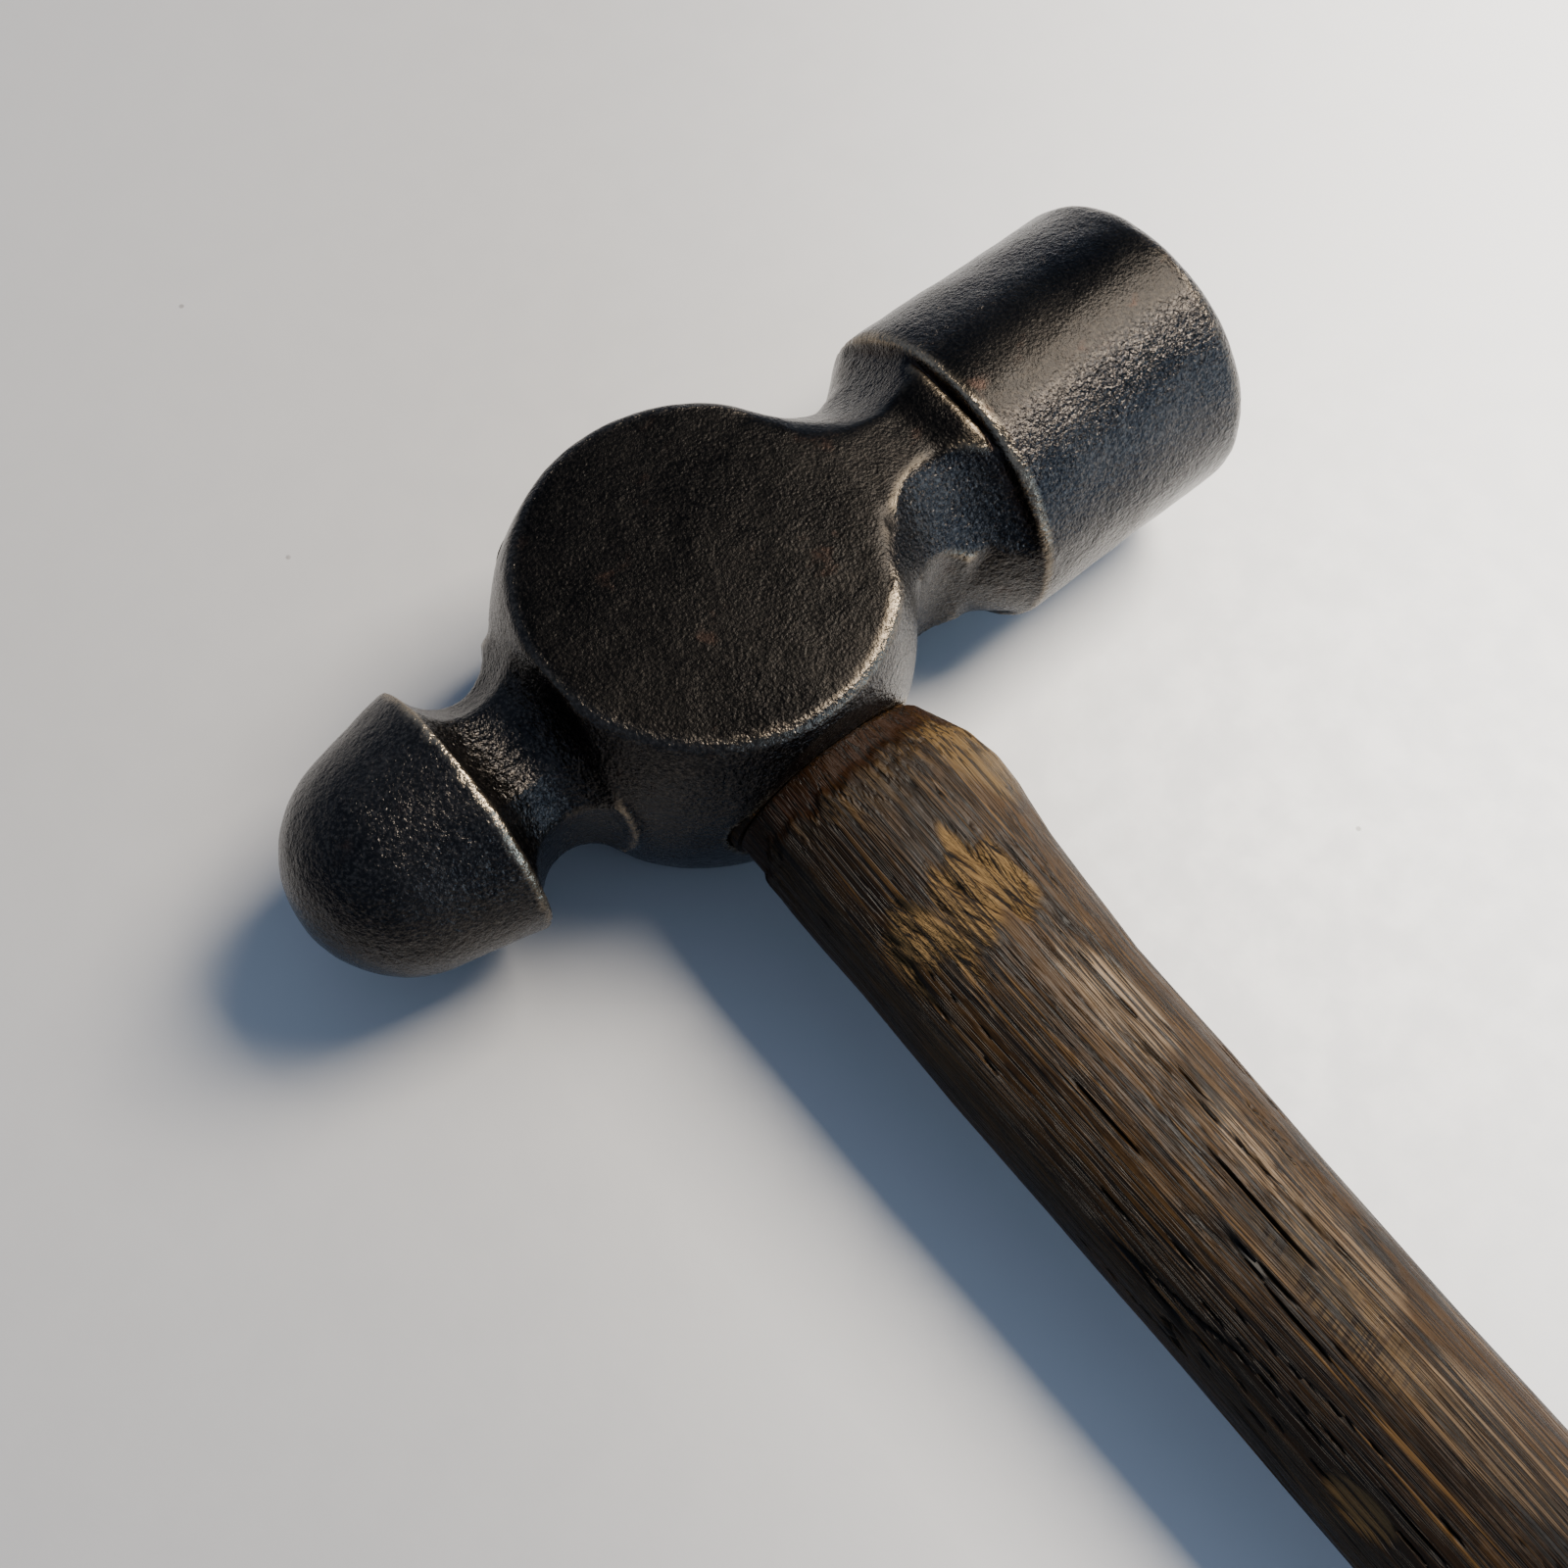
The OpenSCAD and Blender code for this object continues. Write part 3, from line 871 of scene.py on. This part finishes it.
        # Painted highlight: the rim keeps its bright wear on the side the light falls on and is dulled on the
        # other side
        rim_highlight = self.highlight_fade.of((self.highlight_side[0] * x + self.highlight_side[1] * y) / self.highlight_radius)
        edge *= 1 - rim * (1 - rim_highlight) * self.unlit_rim_dulling
        wave = Noise(Seed.WAVE).layered(points, (13, 13, 13), 3)
        peel = Noise(Seed.PEEL).layered(points, (2.2, 2.2, 2.2), 2)
        pit_field = Noise(Seed.PIT).at(points, (1.5, 1.5, 1.5))
        pit_zone = self.pit_zone_start.of(Noise(Seed.PIT_ZONE).at(points, (11, 11, 11)))
        pits = self.pit_start.of(pit_field) * pit_zone
        nick = self.nick_start.of(Noise(Seed.NICK).at(points, (2.6, 2.6, 2.6))) * edge
        move = self.wave_depth * wave * (1 - self.cheek_smooth * cheek)
        move += self.peel_depth * peel - self.pit_depth * pits - self.nick_depth * nick
        write_points(obj, self.rest.to_row(points + normals * move[:, None]))
        write_mask(obj, "edge", edge)
        write_mask(obj, "crevice", crevice)
        write_mask(obj, "cheek", cheek)


@dataclass(frozen=True)
class Station:
    """One section of the handle: how far below the middle of the eye, and its half sizes there."""

    below: float
    ball_side: float
    face_side: float
    depth: float


@dataclass(frozen=True)
class Patch:
    """One ragged oval place on the handle's upper side: middle and half sizes along x and y."""

    centre: Tuple[float, float]
    size: Tuple[float, float]
    ragged: float = 0.35

    def cover(self, points: np.ndarray) -> np.ndarray:
        """How far each point lies in the patch, seen from above the cheek.

        Args:
            points: places in the head frame.

        Returns:
            1 inside the patch and 0 outside.
        """
        dx = (points[:, 0] - self.centre[0]) / self.size[0]
        dy = (points[:, 1] - self.centre[1]) / self.size[1]
        away = np.hypot(dx, dy) + self.ragged * Noise(Seed.PATCH).layered(points, (2.4, 9, 2.4), 2)
        return smooth_step(1.1, 0.75, away)


@dataclass
class Handle:
    """Wooden handle: a weathered oval with cracks and a torn patch, and the CAD tang, in millimetres."""

    rest: RestPose
    columns: int = 300
    shoulder: float = -22.44
    butt: float = -377.6
    boss: float = 1.0
    boss_share: float = 0.9
    butt_rounding: float = 5.0
    rounding_rows: int = 8
    # Spacing of the rows: fine to this far below the shoulder, then medium, then wide
    fine_spacing: float = 0.65
    fine_to: float = 60
    medium_spacing: float = 1.0
    medium_to: float = 130
    wide_spacing: float = 2.0
    stations: Tuple[Station, ...] = (
        Station(22.4, 12.9, 13.8, 10.6),
        Station(25, 12.9, 15.0, 10.9),
        Station(29, 12.8, 16.9, 11.2),
        Station(33, 12.9, 17.4, 11.3),
        Station(37, 12.9, 17.0, 11.4),
        Station(44, 12.8, 15.5, 11.4),
        Station(51, 13.0, 14.6, 11.3),
        Station(60, 13.1, 13.7, 11.1),
        Station(75, 12.9, 13.6, 10.8),
        Station(90, 12.95, 13.1, 10.5),
        Station(110, 13.2, 12.9, 10.3),
        Station(150, 13.1, 12.9, 10.1),
        Station(187, 13.2, 13.1, 10.3),
        Station(250, 13.9, 13.9, 10.9),
        Station(300, 15.3, 15.3, 11.9),
        Station(329.6, 16.0, 16.0, 12.5),
        Station(355, 15.4, 15.4, 12.0),
        Station(372.6, 14.6, 14.6, 11.4),
        Station(377.6, 14.5, 14.5, 11.3),
    )
    torn_patch: Patch = Patch((1.2, -45.5), (8.6, 6.0), 0.55)
    shaved_patch: Patch = Patch((13.5, -31.0), (4.5, 8.0), 0.3)
    chip_patch: Patch = Patch((-10.8, -115.5), (1.3, 4.2), 0.15)
    ripple_patch: Patch = Patch((1.0, -99.0), (3.2, 13.0), 0.2)
    # Places on the upper side rubbed pale by the hand, partly a painted sheen
    worn_sheen_patches: Tuple[Patch, ...] = (
        Patch((4.5, -63.0), (3.4, 9.0)),
        Patch((4.2, -92.0), (4.0, 15.0)),
        Patch((3.5, -119.0), (4.8, 12.0)),
        Patch((4.0, -175.0), (5.5, 30.0)),
    )
    broad_depth: float = 0.30
    fibre_depth: float = 0.07
    crack_depth: float = 0.50
    slit_depth: float = 0.16
    torn_depth: float = 0.45
    strand_depth: float = 0.50
    fray_depth: float = 0.35
    chip_depth: float = 0.45
    collar: float = 4.0
    collar_depth: float = 0.55

    def profile(self) -> Tuple[np.ndarray, np.ndarray]:
        """Rows from the middle of the shoulder end round to the middle of the butt.

        Returns:
            Height y of each row and its share of the full oval.
        """
        top = self.shoulder
        boss_top = top + self.boss
        cap = [(boss_top, 0.0), (boss_top, 0.45), (boss_top, 0.8), (top + self.boss * 0.6, self.boss_share)]
        cap += [(top, self.boss_share + 0.01), (top, 0.96), (top - 0.1, 0.985)]
        steps: List[float] = []
        y = top - 0.5
        while y > self.butt + self.butt_rounding:
            steps.append(y)
            below = top - y
            if below < self.fine_to:
                y -= self.fine_spacing
            elif below < self.medium_to:
                y -= self.medium_spacing
            else:
                y -= self.wide_spacing
        rows = cap + [(s, 1.0) for s in steps]
        for i in range(1, self.rounding_rows + 1):
            a = math.pi / 2 * i / self.rounding_rows
            share = 1 - self.butt_rounding / self.stations[-1].face_side * (1 - math.cos(a))
            rows.append((self.butt + self.butt_rounding * (1 - math.sin(a)), share))
        rows += [(self.butt, 0.45), (self.butt, 0.2), (self.butt, 0.0)]
        heights, shares = np.array(rows).T
        return heights, shares

    def build(self) -> bpy.types.Object:
        """Builds and dresses the handle.

        Returns:
            The finished piece.
        """
        heights, shares = self.profile()
        columns = self.columns // 1
        bpy.ops.mesh.primitive_grid_add(x_subdivisions=columns, y_subdivisions=len(heights) - 1, size=1.0)
        obj = bpy.context.active_object
        obj.name = obj.data.name = "hammer_handle"
        grid = read_points(obj)
        row = np.clip(np.rint((grid[:, 1] + 0.5) * (len(heights) - 1)).astype(int), 0, len(heights) - 1)
        angle = 2 * math.pi * (grid[:, 0] + 0.5)
        y, share = heights[row], shares[row]
        below = -y
        places = [station.below for station in self.stations]
        face_side = np.interp(below, places, [station.face_side for station in self.stations])
        ball_side = np.interp(below, places, [station.ball_side for station in self.stations])
        wide = np.where(np.cos(angle) > 0, face_side, ball_side)
        tall = np.interp(below, places, [station.depth for station in self.stations])
        x = np.cos(angle) * wide * share
        z = np.sin(angle) * tall * share
        points = np.stack([x, y, z], 1)
        outward = np.stack([np.cos(angle) / wide, np.zeros(len(x)), np.sin(angle) / tall], 1)
        outward /= np.linalg.norm(outward, axis=1)[:, None]
        self.weather(obj, points, outward, share)
        select_only(obj)
        bpy.ops.object.mode_set(mode="EDIT")
        bpy.ops.mesh.select_all(action="SELECT")
        bpy.ops.mesh.remove_doubles(threshold=1e-6)
        bpy.ops.mesh.normals_make_consistent(inside=False)
        bpy.ops.object.mode_set(mode="OBJECT")
        self.add_tang(obj)
        select_only(obj)
        bpy.ops.object.shade_smooth_by_angle(angle=math.radians(50))
        obj.data.materials.append(OldWood().make())
        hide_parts("handle")
        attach(obj, Body.ROOT.value)
        log.info("handle: %d faces", len(obj.data.polygons))
        return obj

    def weather(self, obj: bpy.types.Object, points: np.ndarray, outward: np.ndarray,
                share: np.ndarray) -> None:
        """Cuts the grain, cracks, torn patch and chips, and stores the masks of the finish and of the painted
        shadow of the head.

        Args:
            obj: the grid that is being shaped.
            points: smooth places in the head frame.
            outward: directions out of the wood.
            share: share of the full oval at each point, 1 on the side of the handle.
        """
        side = smooth_step(0.97, 1.0, share)
        below = self.shoulder - points[:, 1]
        upper = smooth_step(-0.1, 0.5, outward[:, 2])
        broad = Noise(Seed.BROAD).layered(points, (9, 40, 9), 2)
        ragged = Noise(Seed.RAGGED).layered(points, (1.6, 30, 1.6), 2)
        fibre = Noise(Seed.FIBRE).layered(points, (1.1, 42, 1.1), 2)
        crack_field = Noise(Seed.CRACK).layered(points + 0.5 * broad[:, None], (3.4, 95, 3.4), 2)
        crack_zone = smooth_step(-0.35, 0.15, Noise(Seed.CRACK_ZONE).at(points, (7, 28, 7)))
        crack = smooth_step(0.026, 0.005, np.abs(crack_field)) * crack_zone
        torn = self.torn_patch.cover(points) * upper
        shaved = self.shaved_patch.cover(points) * upper
        chip = self.chip_patch.cover(points) * upper
        shaved = np.maximum(shaved, chip)
        crack *= (1 - torn) * (1 - 0.8 * shaved)
        ripple = self.ripple_patch.cover(points) * upper
        # Painted shadow of the head: darker near the shoulder on the ball side
        head_shadow = smooth_step(20.0, 3.0, below + 3 * broad) * smooth_step(13.0, -2.0, points[:, 0])
        # Rubbed places, partly real wear and partly painted sheen, kept to the upper side
        worn = sum(patch.cover(points) for patch in self.worn_sheen_patches) * upper
        worn = np.clip(worn * (0.95 + 0.7 * Noise(Seed.WORN).at(points, (4, 14, 4)) + 0.4 * broad), 0, 1)
        slit = smooth_step(0.50, 0.80, Noise(Seed.SLIT).at(points, (0.55, 15, 0.55)))
        open_grain = smooth_step(0.1, 0.5, Noise(Seed.OPEN_GRAIN).at(points, (8, 30, 8)))
        slit *= np.clip(0.25 + worn + open_grain, 0, 1) * (1 - shaved)
        cos, sin = math.cos(STRAND_TURN), math.sin(STRAND_TURN)
        strands = points @ np.array([[cos, -sin, 0], [sin, cos, 0], [0, 0, 1]])
        splinter = Noise(Seed.SPLINTER).layered(strands, (0.9, 7, 0.9), 2)
        collar = smooth_step(self.collar + 0.4, self.collar - 0.4, below + 1.1 * ragged)
        rust = smooth_step(self.collar + 1.6, self.collar - 0.6, below + 1.1 * ragged)
        frayed = smooth_step(self.collar + 9, self.collar, below + 2.0 * ragged) * (1 - collar)
        move = self.broad_depth * broad + self.fibre_depth * fibre * (1 - 0.6 * shaved)
        move = move - self.crack_depth * crack * (1 - 0.8 * collar) - self.slit_depth * slit
        move -= torn * (self.torn_depth + self.strand_depth * splinter)
        move -= frayed * self.fray_depth * np.maximum(splinter, 0) + self.chip_depth * chip
        move -= self.collar_depth * collar * smooth_step(0.9, 0.2, outward[:, 0])
        shaped = points + outward * (move * side)[:, None]
        write_points(obj, self.rest.to_row(shaped))
        grain = points * MM
        drift = 0.0008 * Noise(Seed.DRIFT).at(points, (12, 60, 12))
        grain[:, 0] += drift + 0.00012 * Noise(Seed.WAVER).at(points, (4, 25, 4))
        write_vector(obj, "grain", grain)
        write_mask(obj, "crack", np.clip(crack + 0.35 * slit, 0, 1) * side * (1 - 0.7 * collar))
        write_mask(obj, "torn", np.clip(torn + 0.5 * frayed * (splinter > 0.1), 0, 1) * side)
        write_mask(obj, "worn", worn * side)
        write_mask(obj, "shaved", shaved * side)
        write_mask(obj, "rust", rust * side)
        write_mask(obj, "ripple", ripple * side)
        write_mask(obj, "head_shadow", head_shadow * side)

    def add_tang(self, obj: bpy.types.Object) -> None:
        """Joins the slotted tang, cut from the CAD handle just above its shoulder.

        Args:
            obj: the handle that the tang is joined to.
        """
        tang = copy_node("handle", "tang")
        middle = Vector(self.rest.to_row(np.array([0.0, self.shoulder + 0.2, 0.0])))
        bpy.ops.object.mode_set(mode="EDIT")
        bpy.ops.mesh.select_all(action="SELECT")
        bpy.ops.mesh.bisect(plane_co=middle, plane_no=self.rest.direction((0, 1, 0)), use_fill=True,
                            clear_inner=True, clear_outer=False)
        bpy.ops.object.mode_set(mode="OBJECT")
        for name in HANDLE_MASKS:
            write_mask(tang, name, np.zeros(len(tang.data.vertices)))
        write_vector(tang, "grain", self.rest.to_head(read_points(tang)) * MM)
        select_only(obj)
        tang.select_set(True)
        bpy.ops.object.join()


@dataclass
class Wedges:
    """The wooden wedge and the two steel wedges, the steel ones with softened edges."""

    edge: float = 0.25

    def build(self) -> List[bpy.types.Object]:
        """Builds and dresses the wedges.

        Returns:
            The finished pieces.
        """
        wood = PlainStock(name="wedge_wood", light=(0.34, 0.22, 0.11), dark=(0.13, 0.075, 0.035),
                          metallic=0.0, roughness=0.6, streaks=(900, 40, 900)).make()
        steel = PlainStock(name="wedge_steel", light=(0.24, 0.21, 0.18), dark=(0.09, 0.045, 0.025),
                           metallic=0.8, roughness=0.5, streaks=(500, 500, 500)).make()
        kinds = (
            ("wood_wedge", Slot.WOOD_WEDGE, wood),
            ("steel_wedge_face", Slot.STEEL_WEDGE, steel),
            ("steel_wedge_ball", Slot.STEEL_WEDGE, steel),
        )
        made = []
        for node, slot, finish in kinds:
            obj = copy_node(node, node + "_piece")
            if node != "wood_wedge":
                apply_modifier(obj, "BEVEL", width=self.edge * MM, segments=2, limit_method="ANGLE")
            select_only(obj)
            bpy.ops.object.shade_smooth_by_angle(angle=math.radians(30))
            obj.data.materials.append(finish)
            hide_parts(node)
            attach(obj, Body.ROOT.value)
            log.info("%s: %d faces", node, len(obj.data.polygons))
            made.append(obj)
        return made


# ---------------------------------------------------------------- stage


@dataclass(frozen=True)
class Lamp:
    """One soft rectangular light. Places are metres in the head frame."""

    name: str
    place: Tuple[float, float, float]
    size: Tuple[float, float]
    power: float
    colour: Tuple[float, float, float]
    aim: Tuple[float, float, float] = (0.0, -0.03, 0.0)

    def build(self, rest: RestPose) -> None:
        """Hangs the lamp.

        Args:
            rest: how the hammer lies, which the lamp is placed against.
        """
        data = bpy.data.lights.new(self.name, "AREA")
        data.shape = "RECTANGLE"
        data.size, data.size_y = self.size
        data.energy = self.power
        data.color = self.colour
        obj = bpy.data.objects.new(self.name, data)
        obj.location = Vector(rest.origin) + rest.direction(self.place)
        target = Vector(rest.origin) + rest.direction(self.aim)
        obj.rotation_mode = "QUATERNION"
        obj.rotation_quaternion = (target - obj.location).to_track_quat("-Z", "Y")
        bpy.context.scene.collection.objects.link(obj)


@dataclass
class Studio:
    """Table, lights and camera. The camera's place is in millimetres, its directions in the head frame."""

    rest: RestPose
    floor_size: float = 3.0
    eye: Tuple[float, float, float] = (-65.649, -75.785, 196.797)
    right: Tuple[float, float, float] = (0.76788334, -0.63783505, 0.05934318)
    down: Tuple[float, float, float] = (-0.5717959, -0.72423625, -0.38539759)
    lens: float = 42.7275
    sensor: float = 36.0
    sky: Tuple[float, float, float] = (0.50, 0.67, 1.0)
    sky_strength: float = 0.72
    lamps: Tuple[Lamp, ...] = field(default_factory=lambda: (
        Lamp("key", (0.315, -0.03, 0.41), (0.25, 0.25), 11.8, (1.0, 0.92, 0.80)),
        Lamp("window", (0.40, -0.70, 0.20), (0.8, 0.35), 5.5, (0.50, 0.72, 1.0)),
    ))

    def build(self) -> None:
        """Sets up the table, lights and camera."""
        bpy.ops.mesh.primitive_plane_add(size=self.floor_size)
        floor = bpy.context.active_object
        floor.name = "table_top"
        floor.data.materials.append(TableTop().make())
        for lamp in self.lamps:
            lamp.build(self.rest)
        world = bpy.data.worlds.new("room")
        world.use_nodes = True
        back = world.node_tree.nodes["Background"]
        back.inputs["Color"].default_value = (*self.sky, 1.0)
        back.inputs["Strength"].default_value = self.sky_strength
        bpy.context.scene.world = world
        self.place_camera()

    def place_camera(self) -> None:
        """Places the camera."""
        data = bpy.data.cameras.new("camera")
        data.lens, data.sensor_width = self.lens, self.sensor
        data.clip_start = 0.005
        camera = bpy.data.objects.new("camera", data)
        bpy.context.scene.collection.objects.link(camera)
        right = self.rest.direction(self.right)
        up = -self.rest.direction(self.down)
        turn = Matrix((right, up, right.cross(up))).transposed().to_4x4()
        place = Vector(self.rest.to_row(np.array(self.eye)))
        camera.matrix_world = Matrix.Translation(place) @ turn
        bpy.context.scene.camera = camera


def main() -> None:
    """Builds the hammer and its stage in order."""
    logging.basicConfig(level=logging.INFO, format="%(name)s: %(message)s")
    rest = RestPose(frame["record"])
    Head(rest).build()
    Handle(rest).build()
    Wedges().build()
    Studio(rest).build()
    log.info("done")


if __name__ == "__main__":
    main()
